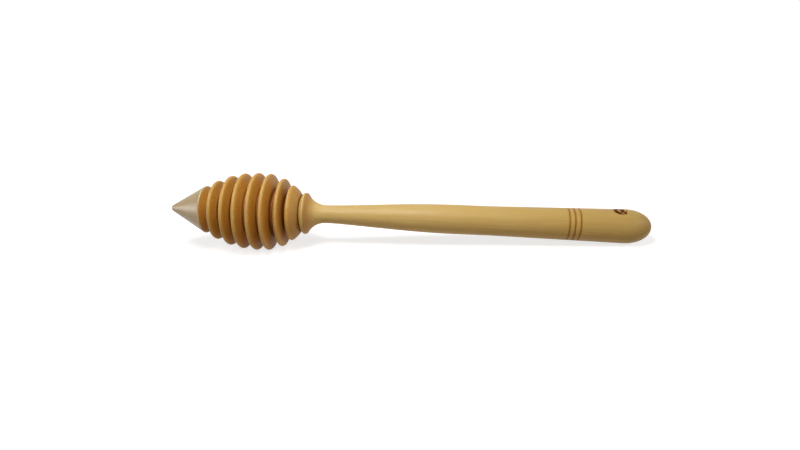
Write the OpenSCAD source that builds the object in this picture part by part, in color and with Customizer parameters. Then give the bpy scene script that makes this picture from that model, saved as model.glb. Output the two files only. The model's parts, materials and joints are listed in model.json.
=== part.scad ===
// Honey dipper turned in three pieces: a pale pointed tip, a ribbed head and a long handle.
// Each piece is drawn along the turning axis, with lengths measured from the point of the tip.
// The whole is then laid on a table, where it rests on its widest ribs and on its handle end.

/* [Tip] */
// Length of the pale cone, from its point to the head's front face
tip_l = 14.1; // [12:0.1:16]
// Diameter over the cone's rim, which caps the head's first rib
rim_d = 17.8; // [17:0.1:20]
// Radius of the rounding on the rim
rim_r = 0.5; // [0.45:0.05:0.8]
// Distance from the widest place of the rim to the head's front face
rim_at = 0.35; // [0.1:0.05:0.4]
// Radius of the blunt point
point_r = 1.4; // [0.8:0.1:2.5]
// Diameter of the spigot that plugs the tip into the head
spigot_d = 4.4; // [3:0.1:5.4]
// Length of the spigot
spigot_l = 7; // [4:0.5:9]

/* [Ribbed head] */
// Distances from the cone's rim to the second crest and from each crest to the next, as turned by eye
crest_steps = [4.8, 5.2, 4.95, 5.1, 4.7, 5, 3.5]; // [3.4:0.05:6]
// Diameter at the belly, over the widest rib
belly_d = 29.2; // [27:0.2:34]
// Distance from the head's front face to the belly
belly_at = 19.7; // [18:0.1:22]
// Length over which the belly stays level
belly_l = 2.2; // [0:0.1:4]
// Radius of the sweep that the crests follow in front of the belly
front_sweep_r = 35; // [30:0.5:42]
// Radius of the sweep that the crests follow behind the belly
back_sweep_r = 16.5; // [15:0.5:22]
// Radius of the rounding on each crest
crest_r = 0.7; // [0.4:0.05:1]
// Depth of the honey grooves below the lower of their two crests
groove_depth = 4.8; // [3:0.1:6]
// Radius of the rounding in the bottom of each groove
groove_r = 0.45; // [0.3:0.05:0.6]
// Least diameter that the grooves leave as a core
core_d = 9.6; // [9:0.1:12]
// Distance from the last crest to the back face
back_l = 3.5; // [3:0.1:5]
// Radius of the swelling slope behind the last crest
back_side_r = 10.8; // [8:0.1:30]
// Diameter of the back face, where the handle's shoulder sits
back_d = 13.1; // [11:0.1:14]

/* [Handle] */
// Length from the shoulder to the rounded end
handle_l = 129.5; // [115:0.1:145]
// Diameter of the tenon that is glued into the head
tenon_d = 6; // [4:0.1:7]
// Length of the tenon
tenon_l = 12; // [8:0.5:15]
// Diameter over the collar
collar_d = 15.7; // [14.5:0.1:18]
// Distance from the shoulder to the collar's crest
collar_at = 1.5; // [1.3:0.1:2.4]
// Radius of the collar's rounded edge
collar_r = 1; // [0.6:0.05:1.2]
// Radius of the cove that sweeps from the collar down to the neck
cove_r = 7.8; // [6:0.1:9]
// Diameter of the neck
neck_d = 6.8; // [6:0.1:8]
// Distance from the shoulder to where the grip reaches its diameter
grip_at = 57.9; // [50:0.1:62]
// Diameter of the grip
grip_d = 11; // [9:0.1:12]
// Length over which the grip swells before the rounded end
swell_l = 48.6; // [35:0.1:52]
// Diameter of the swelling
swell_d = 12.6; // [11.4:0.1:14]
// Length of the rounded end
end_l = 9.4; // [6:0.1:11]

/* [Burnt lines] */
// Number of lines burnt round the handle
line_count = 3; // [1:1:5]
// Distance from the handle's end to the last line
line_from_end = 26.7; // [24:0.1:32]
// Distance from each line to the next
line_step = 2; // [1.5:0.1:3]
// Width of a line at the surface
line_w = 0.5; // [0.3:0.05:0.8]
// Depth of a line
line_depth = 0.25; // [0.15:0.05:0.5]

/* [Hanging hole] */
// Diameter of the hole drilled across the handle
hole_d = 5; // [3:0.1:6]
// Distance from the handle's end to the hole's axis
hole_from_end = 12; // [9:0.1:15]
// Width of the sanded edge at the hole's mouths
hole_ease = 0.35; // [0.2:0.05:0.5]

/* [Joints] */
// Gap for glue round a spigot or tenon
glue_gap = 0.1; // [0.05:0.01:0.2]
// Room for glue beyond the end of a spigot or tenon
glue_room = 0.8; // [0.4:0.1:1.5]
// Chamfer on the end of a spigot or tenon
lead_in = 0.5; // [0.3:0.1:0.8]
// Point angle of the drill that made the blind holes
drill_angle = 118; // [90:1:135]

/* [Hidden] */
$fn = 128;
arc_steps = 8;
shank_steps = 46;
widening = 0.7;
lean_rounds = 8;
overcut = 1;

// Crests of the ribs: places along the axis and radii. The first is the rim of the tip.
rib_count = len(crest_steps) + 1;
function sum_to(list, n) = n == 0 ? 0 : list[n - 1] + sum_to(list, n - 1);
function crest_at(i) = tip_l - rim_at + sum_to(crest_steps, i);
function sweep_drop(r, run) = run <= 0 ? 0 : r - sqrt(r * r - run * run);
function swept_radius(at) = belly_d / 2
    - sweep_drop(front_sweep_r, tip_l + belly_at - at)
    - sweep_drop(back_sweep_r, at - tip_l - belly_at - belly_l);
function crest_radius(i) = i == 0 ? rim_d / 2 : swept_radius(crest_at(i));

// Grooves between the ribs, and the faces that close the head
function groove_at(i) = (crest_at(i) + crest_at(i + 1)) / 2;
function groove_bottom(i) = max(core_d / 2, min(crest_radius(i), crest_radius(i + 1)) - groove_depth);
head_back = crest_at(rib_count - 1) + back_l;

// Places along the handle
collar_centre = [collar_d / 2 - collar_r, head_back + collar_at];
cove_rise = neck_d / 2 + cove_r - collar_centre[0];
cove_centre = collar_centre + [cove_rise, sqrt(pow(collar_r + cove_r, 2) - pow(cove_rise, 2))];
neck_at = cove_centre[1];
grip_start = head_back + grip_at;
handle_end = head_back + handle_l;
end_start = handle_end - end_l;
swell_start = end_start - swell_l;
hole_at = handle_end - hole_from_end;
function line_at(i) = handle_end - line_from_end - i * line_step;

// Radius of the neck and grip, up to the start of the rounded end. Below 1, the widening value makes
// the neck widen sooner than it would along an even wave.
function ease(t) = (1 - cos(180 * min(1, max(0, t)))) / 2;
function handle_radius(at) = neck_d / 2
    + (grip_d - neck_d) / 2 * pow(ease((at - neck_at) / (grip_start - neck_at)), widening)
    + (swell_d - grip_d) / 2 * min(1, max(0, (at - swell_start) / swell_l));

// Outlines are lists of [radius, place along the axis]
function on_circle(centre, r, a) = centre + r * [sin(a), cos(a)];
function arc(centre, r, from, to, first = 0, steps = arc_steps) =
    [for (i = [first:steps]) on_circle(centre, r, from + (to - from) * i / steps)];

// Angles at which straight flanks leave a round crest to touch the roundings beside it.
// Angles run from 0 along the axis, through 90 straight out, to 180 back to the tip.
function direction(v) = atan2(v[0], v[1]);
function full_turn(a) = a < 0 ? a + 360 : a;
function flank_spread(from, r, to, r2) = acos((r + r2) / norm(to - from));
function back_flank(from, r, to, r2) = direction(to - from) + flank_spread(from, r, to, r2);
function front_flank(from, r, to, r2) = full_turn(direction(to - from)) - flank_spread(from, r, to, r2);

// Side that leaves a rounding at an angle, and swells with a radius of its own until it reaches a point
function side_angle(from, r, to, side_r) = direction(to - from) + acos(
    (pow(side_r, 2) - pow(side_r - r, 2) - pow(norm(to - from), 2)) / (2 * (side_r - r) * norm(to - from)));
function swollen_side(from, r, to, side_r) =
    let (start = side_angle(from, r, to, side_r), centre = on_circle(from, r - side_r, start))
    arc(centre, side_r, start, direction(to - centre), first = 1);

function crest_centre(i) = [crest_radius(i) - crest_r, crest_at(i)];
function groove_centre(i) = [groove_bottom(i) + groove_r, groove_at(i)];
point_centre = [0, point_r];
rim_centre = [rim_d / 2 - rim_r, tip_l - rim_at];
front_edge = rim_centre + [sqrt(pow(rim_r, 2) - pow(rim_at, 2)), rim_at];
back_edge = [back_d / 2, head_back];
function front_angle(i) = front_flank(crest_centre(i), crest_r, groove_centre(i - 1), groove_r);
function back_angle(i) = i == 0 ? back_flank(front_edge, 0, groove_centre(i), groove_r)
    : i == rib_count - 1 ? side_angle(crest_centre(i), crest_r, back_edge, back_side_r)
    : back_flank(crest_centre(i), crest_r, groove_centre(i), groove_r);

// Lean of the lying dipper: a straight table touches both the ribs and the rounded end
function ribs_reach(a) = max([for (i = [1:rib_count - 1])
    crest_centre(i)[1] * sin(a) + crest_centre(i)[0] * cos(a) + crest_r]);
function end_reach(a) = norm([end_l * sin(a), swell_d / 2 * cos(a)]) + end_start * sin(a);
function lean_from(a, rounds) = rounds == 0 ? a
    : lean_from(a + asin((ribs_reach(a) - end_reach(a)) / handle_l), rounds - 1);
lean = lean_from(0, lean_rounds);
low_x = point_r * cos(lean) - point_r;
high_x = end_start * cos(lean) + norm([end_l * cos(lean), swell_d / 2 * sin(lean)]);

// Lays a piece from the turning axis onto the table, centred over the origin
module laid() {
    translate([-(low_x + high_x) / 2, 0, ribs_reach(lean)])
        rotate([0, 90 + lean, 0])
            children();
}

// Blind drilled socket that opens at the given place, with the drill's point at its end
module socket(d, depth) {
    drill_r = d / 2 + glue_gap;
    translate([0, 0, -overcut]) cylinder(h = depth + overcut, r = drill_r);
    translate([0, 0, depth]) cylinder(h = drill_r / tan(drill_angle / 2), r1 = drill_r, r2 = 0);
}

module tip() {
    cone_angle = back_flank(point_centre, point_r, rim_centre, -rim_r);
    color("antiquewhite") laid() rotate_extrude() polygon(concat(
        arc(point_centre, point_r, 180, cone_angle),
        arc(rim_centre, rim_r, cone_angle, direction(front_edge - rim_centre)),
        [
            [spigot_d / 2, tip_l],
            [spigot_d / 2, tip_l + spigot_l - lead_in],
            [spigot_d / 2 - lead_in, tip_l + spigot_l],
            [0, tip_l + spigot_l]
        ]
    ));
}

// The head is drawn half a turn round, so that the seam of its surface lies away from the table
module head() {
    outline = [
        for (i = [0:rib_count - 1]) each concat(
            i == 0 ? [front_edge] : arc(crest_centre(i), crest_r, front_angle(i), back_angle(i)),
            i == rib_count - 1 ? swollen_side(crest_centre(i), crest_r, back_edge, back_side_r)
                : arc(groove_centre(i), groove_r, back_angle(i) + 180, front_angle(i + 1) + 180)
        )
    ];
    color("peru") laid() rotate([0, 0, 180]) difference() {
        rotate_extrude() polygon(concat(
            [[0, tip_l]],
            outline,
            [[0, head_back]]
        ));
        translate([0, 0, tip_l]) socket(spigot_d, spigot_l + glue_room);
        translate([0, 0, head_back]) mirror([0, 0, 1]) socket(tenon_d, tenon_l + glue_room);
    }
}

module handle() {
    shoulder_angle = front_flank(collar_centre, collar_r, back_edge, 0);
    cove_angle = direction(cove_centre - collar_centre);
    shank = [
        for (i = [1:shank_steps])
            let (at = neck_at + (end_start - neck_at) * i / shank_steps)
            [handle_radius(at), at]
    ];
    rounded_end = [
        for (i = [1:arc_steps * 2])
            let (a = 90 * i / (arc_steps * 2))
            [swell_d / 2 * cos(a), end_start + end_l * sin(a)]
    ];
    color("burlywood") laid() difference() {
        rotate_extrude() polygon(concat(
            [
                [0, head_back - tenon_l],
                [tenon_d / 2 - lead_in, head_back - tenon_l],
                [tenon_d / 2, head_back - tenon_l + lead_in],
                [tenon_d / 2, head_back],
                back_edge
            ],
            arc(collar_centre, collar_r, shoulder_angle, cove_angle),
            arc(cove_centre, cove_r, cove_angle + 180, 270, first = 1, steps = arc_steps * 2),
            shank, rounded_end
        ));
        for (i = [0:line_count - 1]) burnt_line(line_at(i));
        hanging_hole();
    }
}

// Shallow V burnt round the handle with a wire
module burnt_line(at) {
    r = handle_radius(at);
    rotate_extrude() polygon([
        [r - line_depth, at],
        [r + line_depth, at - line_w],
        [r + line_depth, at + line_w]
    ]);
}

// Hole across the handle, with sanded edges at both mouths
module hanging_hole() {
    surface_r = handle_radius(hole_at);
    translate([0, 0, hole_at]) rotate([0, 90, 0]) {
        cylinder(h = 2 * (surface_r + overcut), d = hole_d, center = true);
        for (side = [0, 1]) mirror([0, 0, side])
            translate([0, 0, surface_r - hole_ease])
                cylinder(h = 2 * hole_ease, r1 = hole_d / 2, r2 = hole_d / 2 + 2 * hole_ease);
    }
}

tip();
head();
handle();
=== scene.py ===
import json
from math import acos, asin, atan2, ceil, cos, hypot, pi, radians, sin, sqrt, tan

import bpy
from mathutils import Matrix, Vector


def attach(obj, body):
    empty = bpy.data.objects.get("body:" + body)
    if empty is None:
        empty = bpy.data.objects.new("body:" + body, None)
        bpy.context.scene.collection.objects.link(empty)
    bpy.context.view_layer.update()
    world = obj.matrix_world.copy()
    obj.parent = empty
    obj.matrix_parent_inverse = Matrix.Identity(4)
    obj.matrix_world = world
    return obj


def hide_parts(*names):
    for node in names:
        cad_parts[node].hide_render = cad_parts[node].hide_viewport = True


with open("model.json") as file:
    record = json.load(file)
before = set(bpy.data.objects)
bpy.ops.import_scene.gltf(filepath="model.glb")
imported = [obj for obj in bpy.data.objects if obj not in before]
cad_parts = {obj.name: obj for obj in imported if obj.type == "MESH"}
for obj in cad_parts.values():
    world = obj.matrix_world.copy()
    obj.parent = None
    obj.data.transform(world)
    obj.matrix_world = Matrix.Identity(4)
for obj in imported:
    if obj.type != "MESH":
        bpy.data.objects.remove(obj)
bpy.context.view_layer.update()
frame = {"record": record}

# Tip: a smooth pale cone that ends in a blunt point. It is turned from a fine-grained wood or another
# pale material, has an even satin finish that shows no grain, and is glued into the head by a spigot.

hanging_hole = next(m for m in frame["record"]["mounts"] if m["name"] == "hanging_hole")
hole_axis = Vector(hanging_hole["axis"]).normalized()
overall_l, hole_from_end = 180.0, 12.0

# The dipper lies on the table with a slight lean. Its turning axis meets the hole's axis squarely.
turning_axis = Vector((hole_axis.z, 0, -hole_axis.x)).normalized()
point_of_tip = Vector(hanging_hole["pos_m"]) - turning_axis * (overall_l - hole_from_end) / 1000
across = Vector((0, 1, 0))
from_lathe = Matrix.Translation(point_of_tip) @ Matrix(
    (turning_axis, across, turning_axis.cross(across))).transposed().to_4x4()
mm_to_table = from_lathe @ Matrix.Scale(0.001, 4)


def outline_round(pegs, longest=0.5):
    """Outline of a turned piece, as (place, radius) in mm, drawn like a string pulled tight round pegs.
    A peg is (place, radius, rounding): above 0 on a swelling, below 0 in a hollow, 0 at a plain corner.
    No step along it is longer than the longest. Where the first peg has a rounding, the string starts
    on the side that faces away from the rest of the dipper."""
    arc_step, whole_turn = radians(10), 2 * pi - 0.001
    leaving = []
    for (p, r, a), (q, s, b) in zip(pegs, pegs[1:]):
        spread = asin(max(-1, min(1, (a - b) / hypot(q - p, s - r))))
        leaving.append(atan2(s - r, q - p) + pi / 2 - spread)
    outline = []
    for i, (p, r, a) in enumerate(pegs):
        arc = [(p, r)]
        if a:
            enter = leaving[i - 1] if i else pi
            turn = (leaving[i] - enter) % (2 * pi) - (2 * pi if a > 0 else 0)
            turn = 0 if abs(turn) > whole_turn else turn
            steps = max(2, ceil(abs(turn) / arc_step), ceil(abs(turn * a) / longest))
            arc = [(p + a * cos(enter + turn * k / steps), r + a * sin(enter + turn * k / steps))
                   for k in range(steps + 1)]
        if outline:
            (p0, r0), (p1, r1) = outline[-1], arc[0]
            gaps = ceil(hypot(p1 - p0, r1 - r0) / longest)
            outline += [(p0 + (p1 - p0) * k / gaps, r0 + (r1 - r0) * k / gaps) for k in range(1, gaps)]
        outline += arc
    return outline


def set_node(tree, kind, inputs=(), **settings):
    """Puts a node in a tree, with links or values for its inputs."""
    node = tree.nodes.new(kind)
    for name, value in settings.items():
        setattr(node, name, value)
    for key, value in dict(inputs).items():
        if isinstance(value, bpy.types.NodeSocket):
            tree.links.new(value, node.inputs[key])
        else:
            node.inputs[key].default_value = value
    return node


def reckon(tree, step, *values):
    """One step of arithmetic on links or numbers."""
    return set_node(tree, "ShaderNodeMath", dict(enumerate(values)), operation=step).outputs[0]


def name_sockets(tree, inputs, outputs):
    """Gives a tree its named inputs and outputs."""
    for way, sockets in (("INPUT", inputs), ("OUTPUT", outputs)):
        for name, kind in sockets:
            tree.interface.new_socket(name, in_out=way, socket_type="NodeSocket" + kind)


def build_lathe():
    """Geometry Nodes tree that spins an outline into a closed piece, a little uneven as hand turning is."""
    waves_along, waves_round = 0.11, 0.7
    calm_r, seam_gap = 2, 0.001
    tree = bpy.data.node_groups.new("lathe", "GeometryNodeTree")
    name_sockets(tree, [("Outline", "Geometry"), ("Facets", "Int"), ("Out of Round", "Float"),
                        ("Unevenness", "Float"), ("Seed", "Int"), ("Finish", "Material")],
                 [("Piece", "Geometry")])
    given = tree.nodes.new("NodeGroupInput").outputs
    points = set_node(tree, "GeometryNodeAttributeDomainSize", {0: given["Outline"]}).outputs["Point Count"]
    columns = reckon(tree, "ADD", given["Facets"], 1)
    skin = set_node(tree, "GeometryNodeMeshGrid", {"Vertices X": points, "Vertices Y": columns})
    index = tree.nodes.new("GeometryNodeInputIndex").outputs[0]
    row = reckon(tree, "FLOOR", reckon(tree, "DIVIDE", reckon(tree, "ADD", index, 0.5), columns))
    column = reckon(tree, "SUBTRACT", index, reckon(tree, "MULTIPLY", row, columns))
    angle = reckon(tree, "MULTIPLY", reckon(tree, "DIVIDE", column, given["Facets"]), 2 * pi)
    sine, cosine = reckon(tree, "SINE", angle), reckon(tree, "COSINE", angle)

    spot = set_node(tree, "GeometryNodeSampleIndex", {
        "Geometry": given["Outline"], "Value": tree.nodes.new("GeometryNodeInputPosition").outputs[0],
        "Index": row}, data_type="FLOAT_VECTOR")
    spot = set_node(tree, "ShaderNodeSeparateXYZ", {0: spot.outputs[0]}).outputs
    hollow = set_node(tree, "GeometryNodeInputNamedAttribute", {"Name": "hollow"}, data_type="FLOAT")
    hollow = set_node(tree, "GeometryNodeSampleIndex", {
        "Geometry": given["Outline"], "Value": hollow.outputs[0], "Index": row}, data_type="FLOAT")

    where = set_node(tree, "ShaderNodeCombineXYZ", {
        0: reckon(tree, "MULTIPLY", spot["X"], waves_along), 1: reckon(tree, "MULTIPLY", sine, waves_round),
        2: reckon(tree, "MULTIPLY", cosine, waves_round)}).outputs[0]
    wander = set_node(tree, "ShaderNodeTexNoise", {
        "Vector": where, "W": given["Seed"], "Scale": 1.0, "Detail": 2.0}, noise_dimensions="4D").outputs[0]
    wander = reckon(tree, "MULTIPLY", reckon(tree, "SUBTRACT", wander, 0.5), given["Unevenness"])
    fade = reckon(tree, "MINIMUM", reckon(tree, "DIVIDE", spot["Z"], calm_r), 1)
    oval = reckon(tree, "COSINE", reckon(tree, "ADD", reckon(tree, "MULTIPLY", angle, 2), given["Seed"]))
    oval = reckon(tree, "ADD", reckon(tree, "MULTIPLY", oval, given["Out of Round"]), 1)
    radius = reckon(tree, "ADD", reckon(tree, "MULTIPLY", spot["Z"], oval),
                    reckon(tree, "MULTIPLY", wander, fade))
    spun = set_node(tree, "GeometryNodeSetPosition", {
        "Geometry": skin.outputs["Mesh"], "Position": set_node(tree, "ShaderNodeCombineXYZ", {
            0: spot["X"], 1: reckon(tree, "MULTIPLY", radius, sine),
            2: reckon(tree, "MULTIPLY", radius, cosine)}).outputs[0]})
    marked = set_node(tree, "GeometryNodeStoreNamedAttribute", {
        "Geometry": spun.outputs[0], "Name": "hollow", "Value": hollow.outputs[0]}, data_type="FLOAT")
    closed = set_node(tree, "GeometryNodeMergeByDistance", {
        "Geometry": marked.outputs[0], "Distance": seam_gap})
    whole = set_node(tree, "GeometryNodeRealizeInstances", {0: closed.outputs[0]})
    finished = set_node(tree, "GeometryNodeSetMaterial", {
        "Geometry": whole.outputs[0], "Material": given["Finish"]})
    tree.links.new(finished.outputs[0], tree.nodes.new("NodeGroupOutput").inputs[0])
    return tree


lathe = build_lathe()
sharpest_smooth = radians(38)


def turn_piece(name, outline, finish, facets=192, out_of_round=0.0, unevenness=0.0, seed=1, hollow=None):
    """Turns a piece on the lathe and lays it where the frame has it. Hollow says, for each point of the
    outline, how deep it lies in a groove."""
    line = bpy.data.meshes.new(name)
    line.from_pydata([(place, 0, radius) for place, radius in outline],
                     [(i, i + 1) for i in range(len(outline) - 1)], [])
    depth = line.attributes.new("hollow", "FLOAT", "POINT")
    depth.data.foreach_set("value", hollow or [0.0] * len(outline))
    piece = bpy.data.objects.new(name, line)
    bpy.context.collection.objects.link(piece)
    spin = piece.modifiers.new("lathe", "NODES")
    spin.node_group = lathe
    sockets = {item.name: item.identifier for item in lathe.interface.items_tree}
    for label, value in (("Facets", facets), ("Out of Round", out_of_round),
                         ("Unevenness", unevenness), ("Seed", seed), ("Finish", finish)):
        spin[sockets[label]] = value
    graph = bpy.context.evaluated_depsgraph_get()
    turned = bpy.data.meshes.new_from_object(piece.evaluated_get(graph))
    # Blender puts an empty slot in front of the one that holds the finish.
    turned.materials.pop(index=0)
    piece.modifiers.clear()
    turned.transform(mm_to_table)
    turned.shade_smooth()
    turned.set_sharp_from_angle(angle=sharpest_smooth)
    piece.data = turned
    return piece


def new_finish(name, gloss=0.5):
    """A material with a Principled shader, and the place along and around the turning axis in mm."""
    finish = bpy.data.materials.new(name)
    finish.use_nodes = True
    tree = finish.node_tree
    place = set_node(tree, "ShaderNodeMapping", {
        "Vector": tree.nodes.new("ShaderNodeTexCoord").outputs["Object"], "Location": point_of_tip,
        "Rotation": from_lathe.to_euler(), "Scale": (0.001, 0.001, 0.001)}, vector_type="TEXTURE")
    shader = tree.nodes["Principled BSDF"].inputs
    shader["Specular IOR Level"].default_value = gloss
    return finish, tree, shader, place.outputs[0]


def paint(red, green, blue):
    """A colour as seen on screen, 0 to 255, as a linear colour."""
    shares = [c / 255 for c in (red, green, blue)]
    return [((c + 0.055) / 1.055) ** 2.4 if c > 0.04045 else c / 12.92 for c in shares] + [1.0]


def stretched(tree, place, x, y, z):
    """The place with a scale along each direction, so that a pattern on it is drawn out or squeezed."""
    return set_node(tree, "ShaderNodeVectorMath", {0: place, 1: (x, y, z)}, operation="MULTIPLY").outputs[0]


def blend(tree, amount, first, second, way="MIX"):
    """Mixes two colours, or one with a colour value."""
    node = set_node(tree, "ShaderNodeMix", data_type="RGBA", blend_type=way)
    for key, value in ((0, amount), (6, first), (7, second)):
        if isinstance(value, bpy.types.NodeSocket):
            tree.links.new(value, node.inputs[key])
        else:
            node.inputs[key].default_value = value
    return node.outputs[2]


def between(tree, value, low, high, to_low=0.0, to_high=1.0):
    """Goes softly from one value to another while a value goes from low to high."""
    return set_node(tree, "ShaderNodeMapRange", {
        "Value": value, "From Min": low, "From Max": high, "To Min": to_low, "To Max": to_high},
        interpolation_type="SMOOTHSTEP").outputs[0]


def build_clouding():
    """Shader group for slow changes of tone over a surface, and the fine unevenness of a rubbed finish."""
    tree = bpy.data.node_groups.new("clouding", "ShaderNodeTree")
    name_sockets(tree, [("Place", "Vector"), ("Patch Size", "Float")],
                 [("Patches", "Float"), ("Specks", "Float")])
    given = tree.nodes.new("NodeGroupInput").outputs
    patches = set_node(tree, "ShaderNodeTexNoise", {
        "Vector": given["Place"], "Scale": reckon(tree, "DIVIDE", 1, given["Patch Size"]),
        "Detail": 3.0, "Roughness": 0.55})
    specks = set_node(tree, "ShaderNodeTexNoise", {
        "Vector": given["Place"], "Scale": 3.5, "Detail": 4.0, "Roughness": 0.6})
    out = tree.nodes.new("NodeGroupOutput")
    tree.links.new(between(tree, patches.outputs[0], 0.3, 0.7), out.inputs["Patches"])
    tree.links.new(specks.outputs[0], out.inputs["Specks"])
    return tree


clouding = build_clouding()


def rub_down(tree, shader, tone, specks, rough, relief, strength, depth):
    """Gives a finish its colour, its roughness, which changes with the specks, and the fine relief of its
    skin, whose depth is in metres."""
    tree.links.new(tone, shader["Base Color"])
    tree.links.new(between(tree, specks, 0.3, 0.7, *rough), shader["Roughness"])
    skin = set_node(tree, "ShaderNodeBump", {"Strength": strength, "Distance": depth, "Height": relief})
    tree.links.new(skin.outputs[0], shader["Normal"])


tip_l, point_r, rim_d, rim_r, rim_at = 14.1, 1.4, 17.8, 0.5, 0.35
spigot_d, spigot_l, lead_in = 4.4, 7.0, 0.5
# The tip's rim colour is a painted highlight: its edge catches the light from the left, as the crests of the
# ribs do.
tip_deep, tip_pale, tip_speck, rim_highlight = (
    paint(156, 133, 90), paint(166, 142, 101), paint(148, 123, 80), paint(190, 172, 128))
rim_highlight_from, rim_highlight_to = tip_l - 0.8, tip_l - 0.4
tip_patch, tip_rough = 6.0, (0.3, 0.38)

tip_finish, tree, shader, place = new_finish("satin tip")
clouds = set_node(tree, "ShaderNodeGroup", {"Place": place, "Patch Size": tip_patch},
                  node_tree=clouding).outputs
tone = blend(tree, clouds["Patches"], tip_deep, tip_pale)
tone = blend(tree, between(tree, clouds["Specks"], 0.45, 0.75, 0, 0.3), tone, tip_speck)
spot = set_node(tree, "ShaderNodeSeparateXYZ", {0: place}).outputs
# Painted highlight on the rim of the tip.
tone = blend(tree, between(tree, spot["X"], rim_highlight_from, rim_highlight_to, 0, 0.6), tone, rim_highlight)
rub_down(tree, shader, tone, clouds["Specks"], tip_rough, relief=clouds["Specks"], strength=0.25,
         depth=0.00004)

tip_outline = outline_round([
    (point_r, 0, point_r), (tip_l - rim_at, rim_d / 2 - rim_r, rim_r), (tip_l, spigot_d / 2, 0),
    (tip_l + spigot_l - lead_in, spigot_d / 2, 0), (tip_l + spigot_l, spigot_d / 2 - lead_in, 0),
    (tip_l + spigot_l, 0, 0)])
# The rounding of the rim stops at the flat back, and only the spigot goes beyond it.
beside_spigot = spigot_d / 2 + 0.01
tip_outline = [(place if radius < beside_spigot else min(place, tip_l), radius)
               for place, radius in tip_outline]
tip = turn_piece("cone_tip", tip_outline, tip_finish, facets=160)
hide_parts("tip")
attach(tip, "root")

# Head: one block of orange-brown hardwood, turned into eight ribs with deep grooves that carry the
# honey. A drilled socket at each end takes the tip's spigot and the handle's tenon, and both are glued.


def build_grain():
    """Shader group for the figure of the wood: growth rings, fibres along the piece, and small pores.
    Each pattern is drawn out along the piece, as the wood grew."""
    bend_scale, ring_scale, ring_bend = (0.012, 0.05, 0.05), (0.035, 1, 1), 3.0
    fibre_scale, pore_scale = (0.045, 1.5, 1.5), (0.5, 3.4, 3.4)
    tree = bpy.data.node_groups.new("wood grain", "ShaderNodeTree")
    name_sockets(tree, [("Place", "Vector"), ("Heart", "Vector"), ("Ring Width", "Float")],
                 [("Rings", "Float"), ("Fibres", "Float"), ("Pores", "Float")])
    given = tree.nodes.new("NodeGroupInput").outputs
    bend = set_node(tree, "ShaderNodeTexNoise", {
        "Vector": stretched(tree, given["Place"], *bend_scale), "Scale": 1.0, "Detail": 2.0}).outputs[0]
    from_heart = set_node(tree, "ShaderNodeVectorMath", {
        0: stretched(tree, given["Place"], *ring_scale), 1: given["Heart"]}, operation="SUBTRACT").outputs[0]
    from_heart = set_node(
        tree, "ShaderNodeVectorMath", {0: from_heart}, operation="LENGTH").outputs["Value"]
    years = reckon(tree, "ADD", reckon(tree, "DIVIDE", from_heart, given["Ring Width"]),
                   reckon(tree, "MULTIPLY", bend, ring_bend))
    year = reckon(tree, "FRACT", years)
    late = reckon(tree, "MULTIPLY", between(tree, year, 0.35, 0.9), between(tree, year, 0.9, 1.0, 1, 0))
    fibres = set_node(tree, "ShaderNodeTexNoise", {
        "Vector": stretched(tree, given["Place"], *fibre_scale), "Scale": 1.0, "Detail": 6.0,
        "Roughness": 0.62}).outputs[0]
    cells = set_node(tree, "ShaderNodeTexVoronoi", {
        "Vector": stretched(tree, given["Place"], *pore_scale), "Scale": 1.0}).outputs
    chance = set_node(tree, "ShaderNodeSeparateColor", {0: cells["Color"]}).outputs[0]
    pores = reckon(tree, "MULTIPLY", between(tree, cells["Distance"], 0.1, 0.24, 1, 0),
                   between(tree, chance, 0.45, 0.6))
    out = tree.nodes.new("NodeGroupOutput")
    for name, value in (("Rings", late), ("Fibres", fibres), ("Pores", pores)):
        tree.links.new(value, out.inputs[name])
    return tree


def build_tool_marks():
    """Shader group for the faint rings that the chisel and the sandpaper leave round a turned piece."""
    tree = bpy.data.node_groups.new("tool marks", "ShaderNodeTree")
    name_sockets(tree, [("Place", "Vector"), ("Spacing", "Float")], [("Marks", "Float")])
    given = tree.nodes.new("NodeGroupInput").outputs
    spot = set_node(tree, "ShaderNodeSeparateXYZ", {0: given["Place"]}).outputs
    radius = reckon(tree, "SQRT", reckon(tree, "ADD", reckon(tree, "MULTIPLY", spot["Y"], spot["Y"]),
                                         reckon(tree, "MULTIPLY", spot["Z"], spot["Z"])))
    where = set_node(tree, "ShaderNodeCombineXYZ", {
        0: reckon(tree, "DIVIDE", spot["X"], given["Spacing"]),
        1: reckon(tree, "DIVIDE", radius, given["Spacing"]),
        2: reckon(tree, "MULTIPLY", spot["Y"], 0.06)}).outputs[0]
    marks = set_node(tree, "ShaderNodeTexNoise", {
        "Vector": where, "Scale": 1.0, "Detail": 3.0, "Roughness": 0.6}).outputs[0]
    tree.links.new(marks, tree.nodes.new("NodeGroupOutput").inputs["Marks"])
    return tree


grain, tool_marks = build_grain(), build_tool_marks()
patch_tint, wood_patch, mark_spacing, pore_depth = (0.55, 0.3, 0.12, 1), 9.0, 0.22, 0.5


def show_wood(tree, place, pale, deep, heart, ring_width, mark_height):
    """A bare wood's colour, its pores, the specks of its roughness, and the relief of pores and marks."""
    figure = set_node(tree, "ShaderNodeGroup", {
        "Place": place, "Heart": heart, "Ring Width": ring_width}, node_tree=grain).outputs
    clouds = set_node(tree, "ShaderNodeGroup", {
        "Place": place, "Patch Size": wood_patch}, node_tree=clouding).outputs
    marks = set_node(tree, "ShaderNodeGroup", {
        "Place": place, "Spacing": mark_spacing}, node_tree=tool_marks).outputs["Marks"]
    tone = blend(tree, between(tree, figure["Fibres"], 0.32, 0.7), pale, deep)
    tone = blend(tree, reckon(tree, "MULTIPLY", figure["Rings"], 0.35), tone, deep)
    tone = blend(tree, reckon(tree, "MULTIPLY", clouds["Patches"], 0.1), tone, patch_tint, "SOFT_LIGHT")
    relief = reckon(tree, "SUBTRACT", reckon(tree, "MULTIPLY", marks, mark_height),
                    reckon(tree, "MULTIPLY", figure["Pores"], pore_depth))
    return tone, figure["Pores"], clouds["Specks"], relief


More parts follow.
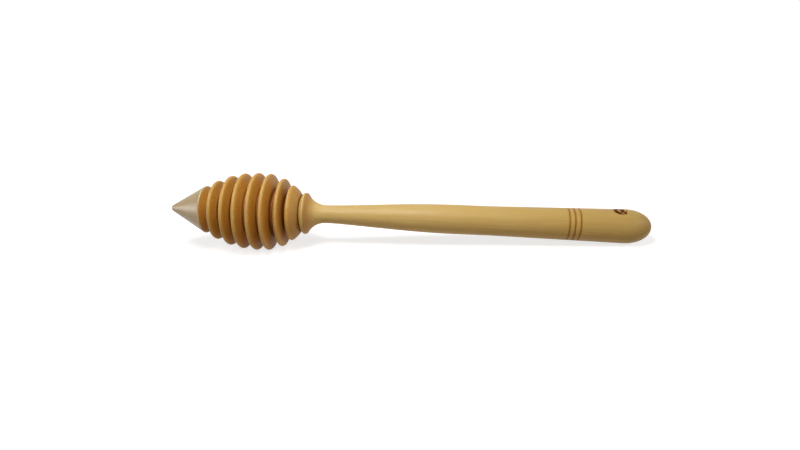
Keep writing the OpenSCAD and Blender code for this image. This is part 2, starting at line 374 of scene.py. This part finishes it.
crest_steps, rib_top_r = [4.8, 5.2, 4.95, 5.1, 4.7, 5.0, 3.5], 0.7
belly_d, belly_at, belly_l = 29.2, 19.7, 2.2
front_sweep_r, back_sweep_r = 35.0, 16.5
groove_depth, groove_r, core_d = 4.8, 0.45, 9.6
back_l, back_d, back_side_r, eased = 3.5, 13.1, 10.8, 0.12
glue_gap, glue_room = 0.1, 0.8
tenon_d, tenon_l = 6.0, 12.0
drill_angle = 118
under_rim = 0.04


def envelope(place):
    """Radius of the smooth body, before its grooves are cut."""
    ahead = max(0, tip_l + belly_at - place)
    behind = max(0, place - tip_l - belly_at - belly_l)
    return belly_d / 2 - (front_sweep_r - sqrt(front_sweep_r ** 2 - ahead ** 2)) - (
        back_sweep_r - sqrt(back_sweep_r ** 2 - behind ** 2))


crests = [(tip_l - rim_at, rim_d / 2)]
for step in crest_steps:
    crests.append((crests[-1][0] + step, envelope(crests[-1][0] + step)))
head_back = crests[-1][0] + back_l


def socket(place, width, depth, way):
    """Pegs of a blind drilled socket that opens at a place, from its drilled point to its mouth."""
    r = width / 2 + glue_gap
    return [(place + way * (depth + glue_room + r / tan(radians(drill_angle / 2))), 0, 0),
            (place + way * (depth + glue_room), r, 0), (place, r, 0)]


def swollen_side(peg, place, radius, side_r, corners=12):
    """Corner pegs along a side that leaves a rounding and swells, with its own radius, up to a point."""
    p, r, a = peg
    reach = hypot(place - p, radius - r)
    start = atan2(radius - r, place - p) + acos(
        (side_r ** 2 - (side_r - a) ** 2 - reach ** 2) / (2 * (side_r - a) * reach))
    p, r = p - (side_r - a) * cos(start), r - (side_r - a) * sin(start)
    turn = atan2(radius - r, place - p) - start
    return [(p + side_r * cos(start + turn * k / corners), r + side_r * sin(start + turn * k / corners), 0)
            for k in range(1, corners)]


front_r = rim_d / 2 - rim_r + sqrt(rim_r ** 2 - rim_at ** 2)
pegs = socket(tip_l, spigot_d, spigot_l, 1)
for (place, radius), after in zip(crests, crests[1:] + [None]):
    if place < tip_l:
        pegs.append((tip_l, front_r - under_rim, 0))
    else:
        pegs.append((place, radius - rib_top_r, rib_top_r))
    if after:
        bottom = max(core_d / 2, min(radius, after[1]) - groove_depth)
        pegs.append(((place + after[0]) / 2, bottom + groove_r, -groove_r))
pegs += swollen_side(pegs[-1], head_back, back_d / 2, back_side_r)
pegs += [(head_back - eased, back_d / 2 - eased, eased)] + socket(head_back, tenon_d, tenon_l, -1)[::-1]
head_outline = outline_round(pegs, longest=0.45)

# The crest colour is a painted highlight: the front side of each crest is lighter, standing in for the light
# from the left that falls on it.
crest_highlight_depth = 0.12
head_pale, head_deep, head_pore, crest_highlight = (
    paint(196, 152, 76), paint(184, 136, 58), paint(140, 84, 36), paint(182, 148, 86))
# Painted shade: the grooves grow darker and warmer with depth, and darkest at their bottoms.
shade_in_grooves, groove_bottom_shade = (1.0, 0.87, 0.62, 1), paint(104, 50, 8)
# The joint line's colour is dark glue, together with painted shade in the crease where the head meets the
# handle.
back_slope_darkening, glue_and_shade_line = (0.76, 0.74, 0.78, 1), paint(100, 50, 4)
back_slope_from, back_slope_to, glue_and_shade_from = crests[-1][0] + 0.2, crests[-1][0] + 1.2, head_back - 0.5
head_heart, head_rings, head_rough, wood_gloss = (0, -34, 21), 2.6, (0.46, 0.58), 0.3


def groove_shade(place, radius):
    """How deep a point lies in a groove, from 0 on the crests to 1 at the bottom. Just behind a crest it
    starts above 0, so that the painted highlight on the crests stays on the side that faces the tip and the
    light."""
    for (at, radius_at), (next_at, next_radius) in zip(crests, crests[1:] + [(head_back, back_d / 2)]):
        if at <= place <= next_at:
            share = (place - at) / (next_at - at)
            depth = (radius_at + (next_radius - radius_at) * share - radius) / groove_depth
            behind_crest = share > 0.05 and (share < 0.5 or next_at == head_back)
            return min(1.0, max(crest_highlight_depth if behind_crest else 0.0, depth))
    return 0.0


head_finish, tree, shader, place = new_finish("oiled head wood", wood_gloss)
tone, pores, specks, relief = show_wood(
    tree, place, head_pale, head_deep, head_heart, head_rings, mark_height=0.6)
depth = set_node(tree, "ShaderNodeAttribute", attribute_name="hollow").outputs["Fac"]
spot = set_node(tree, "ShaderNodeSeparateXYZ", {0: place}).outputs
# Painted highlight on the front side of the crests.
tone = blend(tree, between(tree, depth, 0.0, crest_highlight_depth, 0.7, 0), tone, crest_highlight)
# Painted shade, darker and warmer down the grooves.
tone = blend(tree, between(tree, depth, 0.08, 0.4), tone, shade_in_grooves, "MULTIPLY")
# Painted shade at the bottom of each groove.
tone = blend(tree, between(tree, depth, 0.8, 1.0, 0, 0.85), tone, groove_bottom_shade)
# The last rib's back slope is made darker.
tone = blend(tree, between(tree, spot["X"], back_slope_from, back_slope_to), tone, back_slope_darkening, "MULTIPLY")
# Dark glue and painted shade along the joint at the head's back.
tone = blend(tree, between(tree, spot["X"], glue_and_shade_from, head_back, 0, 0.8), tone, glue_and_shade_line)
tone = blend(tree, reckon(tree, "MULTIPLY", pores, 0.5), tone, head_pore)
rub_down(tree, shader, tone, specks, head_rough, relief, strength=0.35, depth=0.00006)

head = turn_piece("ribbed_head", head_outline, head_finish, out_of_round=0.0015, unevenness=0.06,
                  seed=3, hollow=[groove_shade(place, radius) for place, radius in head_outline])
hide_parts("head")
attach(head, "root")

# Handle: paler hardwood, turned with a tenon that is glued into the head, a rounded collar, a thin
# neck and a grip that swells towards its rounded end. Three lines are burnt round it with a wire.

collar_d, collar_at, collar_r, cove_r, neck_d = 15.7, 1.5, 1.0, 7.8, 6.8
grip_at, grip_d, swell_l, swell_d, end_l = 57.9, 11.0, 48.6, 12.6, 9.4
widening, shank_step, end_step = 0.7, 0.55, 2
line_count, line_from_end, line_step, line_w, line_depth = 3, 26.7, 2.0, 0.5, 0.25
line_edge_r, line_bottom_r = 0.05, 0.08
handle_pale, handle_deep, handle_pore = paint(198, 170, 107), paint(190, 159, 95), paint(170, 122, 66)
darker_grip, darker_end = (1.0, 0.95, 0.8, 1), (0.86, 0.76, 0.5, 1)
# The cove colour is painted shade for the cove behind the collar.
cove_shade, handle_glue_and_shade = (0.73, 0.54, 0.34, 1), paint(112, 62, 10)
scorch_edge, scorch = paint(180, 134, 62), paint(156, 104, 26)
# Painted light and shade for the wall of the hanging hole.
hole_wall_lit, hole_wall_shaded = paint(238, 196, 128), paint(112, 62, 8)
handle_heart, handle_rings, handle_rough = (60, 31, -26), 2.1, (0.42, 0.52)

collar = (head_back + collar_at, collar_d / 2 - collar_r, collar_r)
cove_rise = neck_d / 2 + cove_r - collar[1]
neck_at = collar[0] + sqrt((collar_r + cove_r) ** 2 - cove_rise ** 2)
end_start = overall_l - end_l
hole_at = overall_l - hole_from_end
lines = [overall_l - line_from_end - i * line_step for i in reversed(range(line_count))]
grip_from, grip_to, end_from, glue_and_shade_to = overall_l - 110, overall_l - 10, overall_l - 8, head_back + 0.4
cove_from, cove_full, cove_fades, cove_to = (collar[0] + k for k in (-0.1, 0.4, 0.6, 4.8))


def ease(share):
    """Goes from 0 to 1 with a soft start and a soft end."""
    return (1 - cos(pi * min(1, max(0, share)))) / 2


def handle_radius(place):
    """Radius from the neck to the handle's end."""
    widened = ease((place - neck_at) / (head_back + grip_at - neck_at)) ** widening
    swollen = min(1, max(0, (place - end_start + swell_l) / swell_l))
    r = neck_d / 2 + (grip_d - neck_d) / 2 * widened + (swell_d - grip_d) / 2 * swollen
    if place > end_start:
        r = swell_d / 2 * sqrt(max(0, 1 - ((place - end_start) / end_l) ** 2))
    return r


front_pegs = [(head_back - tenon_l, 0, 0), (head_back - tenon_l, tenon_d / 2 - lead_in, 0),
              (head_back - tenon_l + lead_in, tenon_d / 2, 0), (head_back, tenon_d / 2, 0),
              (head_back + eased, back_d / 2 - eased, eased), collar,
              (neck_at, neck_d / 2 + cove_r, -cove_r)]
shank = [neck_at + shank_step * k for k in range(1, int((end_start - neck_at) / shank_step))]
rounded_end = [end_start + end_l * sin(radians(a)) for a in range(0, 90, end_step)]
clear_of_line = line_w * 0.75
long_pegs = [(place, handle_radius(place), 0) for place in shank + rounded_end
             if all(abs(place - line) > clear_of_line for line in lines)]
for line in lines:
    r = handle_radius(line)
    long_pegs += [(line - line_w / 2, r - line_edge_r, line_edge_r),
                  (line, r - line_depth + line_bottom_r, -line_bottom_r),
                  (line + line_w / 2, r - line_edge_r, line_edge_r)]
handle_outline = outline_round(front_pegs + sorted(long_pegs) + [(overall_l, 0, 0)], longest=0.7)

handle_finish, tree, shader, place = new_finish("sanded handle wood", wood_gloss)
tone, pores, specks, relief = show_wood(
    tree, place, handle_pale, handle_deep, handle_heart, handle_rings, mark_height=0.5)
spot = set_node(tree, "ShaderNodeSeparateXYZ", {0: place}).outputs
tone = blend(tree, between(tree, spot["X"], grip_from, grip_to), tone, darker_grip, "MULTIPLY")
tone = blend(tree, between(tree, spot["X"], end_from, overall_l), tone, darker_end, "MULTIPLY")
# The joint line on the handle's side: dark glue, and painted shade in the crease by the head.
tone = blend(tree, between(tree, spot["X"], head_back, glue_and_shade_to, 0.8, 0), tone, handle_glue_and_shade)
# Painted shade on the cove behind the collar, which faces away from the light.
shaded_cove = reckon(tree, "MINIMUM", between(tree, spot["X"], cove_from, cove_full),
                       between(tree, spot["X"], cove_fades, cove_to, 1, 0))
tone = blend(tree, shaded_cove, tone, cove_shade, "MULTIPLY")
tone = blend(tree, reckon(tree, "MULTIPLY", pores, 0.3), tone, handle_pore)
char = None
for line in lines:
    away = reckon(tree, "ABSOLUTE", reckon(tree, "SUBTRACT", spot["X"], line))
    away = reckon(tree, "ADD", away, reckon(tree, "MULTIPLY", specks, 0.12))
    char = away if char is None else reckon(tree, "MINIMUM", char, away)
tone = blend(tree, between(tree, char, 0.3, 0.8, 0.75, 0), tone, scorch_edge)
tone = blend(tree, between(tree, char, 0.2, 0.45, 0.9, 0), tone, scorch)

# The wall of the hole gets painted light and shade: pale patches stand in for its lit side and dark ones for
# its shade, laid out by a noise.
bore = hanging_hole["dims"]["r_mm"]
off = reckon(tree, "SUBTRACT", spot["X"], hole_at)
from_bore = reckon(tree, "SQRT", reckon(tree, "ADD", reckon(tree, "MULTIPLY", off, off),
                                        reckon(tree, "MULTIPLY", spot["Y"], spot["Y"])))
ragged = reckon(tree, "ADD", from_bore, reckon(tree, "MULTIPLY", specks, 0.3))
hole_light_pattern = set_node(tree, "ShaderNodeTexNoise", {"Vector": place, "Scale": 0.9, "Detail": 3.0}).outputs[0]
painted_hole_wall = blend(tree, between(tree, hole_light_pattern, 0.42, 0.56), hole_wall_lit, hole_wall_shaded)
tone = blend(tree, between(tree, ragged, bore + 0.12, bore + 0.5, 1, 0), tone, painted_hole_wall)
rub_down(tree, shader, tone, specks, handle_rough, relief, strength=0.3, depth=0.00005)

handle = turn_piece("turned_handle", handle_outline, handle_finish, out_of_round=0.002,
                    unevenness=0.1, seed=8)

# Hanging hole: drilled straight across the handle near its end, with a common twist drill. Its mouths
# are eased with sandpaper, and follow the round of the handle. With its hole the handle is complete.

hole_ease = 0.35
bit_facets, bit_top, flare, overcut, wider = 96, 9.0, 0.6, 0.25, 0.04
easing_steps = (0.12, 0.3, 0.6, 1)


def drill_bit(name):
    """The space that the drill and the sandpaper take away. Rings go down from its flared top to a ring
    just above the handle's surface, then along the eased edge into the bore, and the same below."""
    rings = [(bit_top, hole_ease + flare), (None, 0)] + [(None, k) for k in easing_steps]
    points, faces = [], []
    for side in (1, -1):
        for level, k in rings if side == 1 else rings[::-1]:
            for j in range(bit_facets):
                a = 2 * pi * j / bit_facets
                eased_by = hole_ease * (1 - sin(k * pi / 2))
                reach = bore + (k if level else eased_by + (0 if k else wider))
                x, y = hole_at + reach * cos(a), reach * sin(a)
                surface = sqrt(handle_radius(hole_at + bore * cos(a)) ** 2 - (bore * sin(a)) ** 2)
                z = level or surface + (overcut if k == 0 else -hole_ease * (1 - cos(k * pi / 2)))
                points.append((x, y, side * z))
    for start in range(0, len(points) - bit_facets, bit_facets):
        for j in range(bit_facets):
            here, beside = start + j, start + (j + 1) % bit_facets
            faces.append((here, here + bit_facets, beside + bit_facets, beside))
    faces += [tuple(range(bit_facets)), tuple(reversed(range(len(points) - bit_facets, len(points))))]
    mesh = bpy.data.meshes.new(name)
    mesh.from_pydata(points, [], faces)
    mesh.transform(mm_to_table)
    bit = bpy.data.objects.new(name, mesh)
    bpy.context.collection.objects.link(bit)
    return bit


bit = drill_bit("drill_bit")
cut = handle.modifiers.new("drill", "BOOLEAN")
cut.object, cut.operation, cut.solver = bit, "DIFFERENCE", "EXACT"
drilled = bpy.data.meshes.new_from_object(handle.evaluated_get(bpy.context.evaluated_depsgraph_get()))
handle.modifiers.clear()
bpy.data.objects.remove(bit)
drilled.shade_smooth()
drilled.set_sharp_from_angle(angle=sharpest_smooth)
handle.data = drilled
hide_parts("handle")
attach(handle, "root")

# Table: a plain white top, far larger than the dipper. It shows white and keeps the dipper's soft
# shadow, and sends back only a little light to the underside.

table_reach = 6.0
glow_near, glow_far, near, far_off = 0.74, 1.0, 0.1, 0.3
shown_white, matt_white = (0.62, 0.62, 0.62, 1), (0.45, 0.37, 0.28, 1)


def seen_directly(tree):
    """1 where the camera sees a surface, even in a gloss or through glass, and 0 where it only lights."""
    rays = tree.nodes.new("ShaderNodeLightPath").outputs
    return reckon(tree, "MAXIMUM", rays["Is Camera Ray"], reckon(
        tree, "MAXIMUM", rays["Is Glossy Ray"], rays["Is Transmission Ray"]))


table_mesh = bpy.data.meshes.new("table_top")
corners = [(x * table_reach, y * table_reach, 0) for x, y in ((-1, -1), (1, -1), (1, 1), (-1, 1))]
table_mesh.from_pydata(corners, [], [(0, 1, 2, 3)])
table = bpy.data.objects.new("table_top", table_mesh)
bpy.context.collection.objects.link(table)
table_finish = bpy.data.materials.new("white table")
table_finish.use_nodes = True
tree = table_finish.node_tree
tree.nodes.clear()
spot = tree.nodes.new("ShaderNodeTexCoord").outputs["Object"]
far = set_node(tree, "ShaderNodeVectorMath", {0: spot}, operation="LENGTH").outputs["Value"]
glow = between(tree, far, near, far_off, glow_near, glow_far)
white = set_node(tree, "ShaderNodeBsdfDiffuse", {"Color": shown_white})
lift = set_node(tree, "ShaderNodeEmission", {"Color": (1, 1, 1, 1), "Strength": glow})
shown = set_node(tree, "ShaderNodeAddShader", {0: white.outputs[0], 1: lift.outputs[0]})
matt = set_node(tree, "ShaderNodeBsdfDiffuse", {"Color": matt_white})
both = set_node(tree, "ShaderNodeMixShader", {
    0: seen_directly(tree), 1: matt.outputs[0], 2: shown.outputs[0]})
out = set_node(tree, "ShaderNodeOutputMaterial", {0: both.outputs[0]})
table_mesh.materials.append(table_finish)

# Light: a soft main lamp above the head, a weaker one low on the left for the gloss on the tip, a far
# one on the right for the handle's end, and a dim sky.


def hang_lamp(name, at, towards, size, watts, colour):
    """Hangs a square lamp that shines towards a point and isn't seen itself."""
    lamp = bpy.data.lights.new(name, "AREA")
    lamp.size, lamp.energy, lamp.color = size, watts, colour
    stand = bpy.data.objects.new(name, lamp)
    stand.location = at
    stand.rotation_euler = (Vector(towards) - Vector(at)).to_track_quat("-Z", "Y").to_euler()
    stand.visible_camera = False
    bpy.context.collection.objects.link(stand)


hang_lamp("main_lamp", at=(-0.035, -0.06, 0.195), towards=(-0.01, 0, 0.01), size=0.1, watts=0.41,
          colour=(1.0, 0.985, 0.96))
hang_lamp("left_lamp", at=(-0.46, -0.04, 0.07), towards=(-0.06, 0, 0.01), size=0.14, watts=0.36,
          colour=(1.0, 0.98, 0.97))
hang_lamp("right_lamp", at=(0.9, -0.15, 0.42), towards=(0, 0, 0.01), size=0.3, watts=1.7,
          colour=(1.0, 0.99, 0.97))

sky_light = 0.12
world = bpy.data.worlds.new("pale room")
bpy.context.scene.world = world
world.use_nodes = True
tree = world.node_tree
room = tree.nodes["Background"].inputs
room["Color"].default_value = (1, 1, 1, 1)
strength = reckon(tree, "ADD", reckon(tree, "MULTIPLY", seen_directly(tree), 1 - sky_light), sky_light)
tree.links.new(strength, room["Strength"])

# Camera: where the photograph was taken from, about 20 cm away and a little above the dipper. Its
# place, its turns and its focal length were fitted to the dipper's outline.

picture_w_px, focal_px, shift_px, sensor_w = 800, 521.08, 10.75, 36.0
camera_at = (0.01199, -0.17894, 0.09039)
yaw, pitch, roll = -0.08154, 0.45029, -0.04821

lens = bpy.data.cameras.new("camera")
lens.lens, lens.sensor_width, lens.sensor_fit = focal_px / picture_w_px * sensor_w, sensor_w, "HORIZONTAL"
lens.shift_y = shift_px / picture_w_px
lens.clip_start, lens.clip_end = 0.01, 50
camera = bpy.data.objects.new("camera", lens)
bpy.context.collection.objects.link(camera)
ahead = Vector((sin(yaw) * cos(pitch), cos(yaw) * cos(pitch), -sin(pitch)))
level = Vector((cos(yaw), -sin(yaw), 0))
above = level.cross(ahead)
side, top = level * cos(roll) + above * sin(roll), above * cos(roll) - level * sin(roll)
camera.matrix_world = Matrix.Translation(camera_at) @ Matrix(
    (side, top, -ahead)).transposed().to_4x4()
bpy.context.scene.camera = camera
bpy.context.scene.view_settings.view_transform = "Standard"
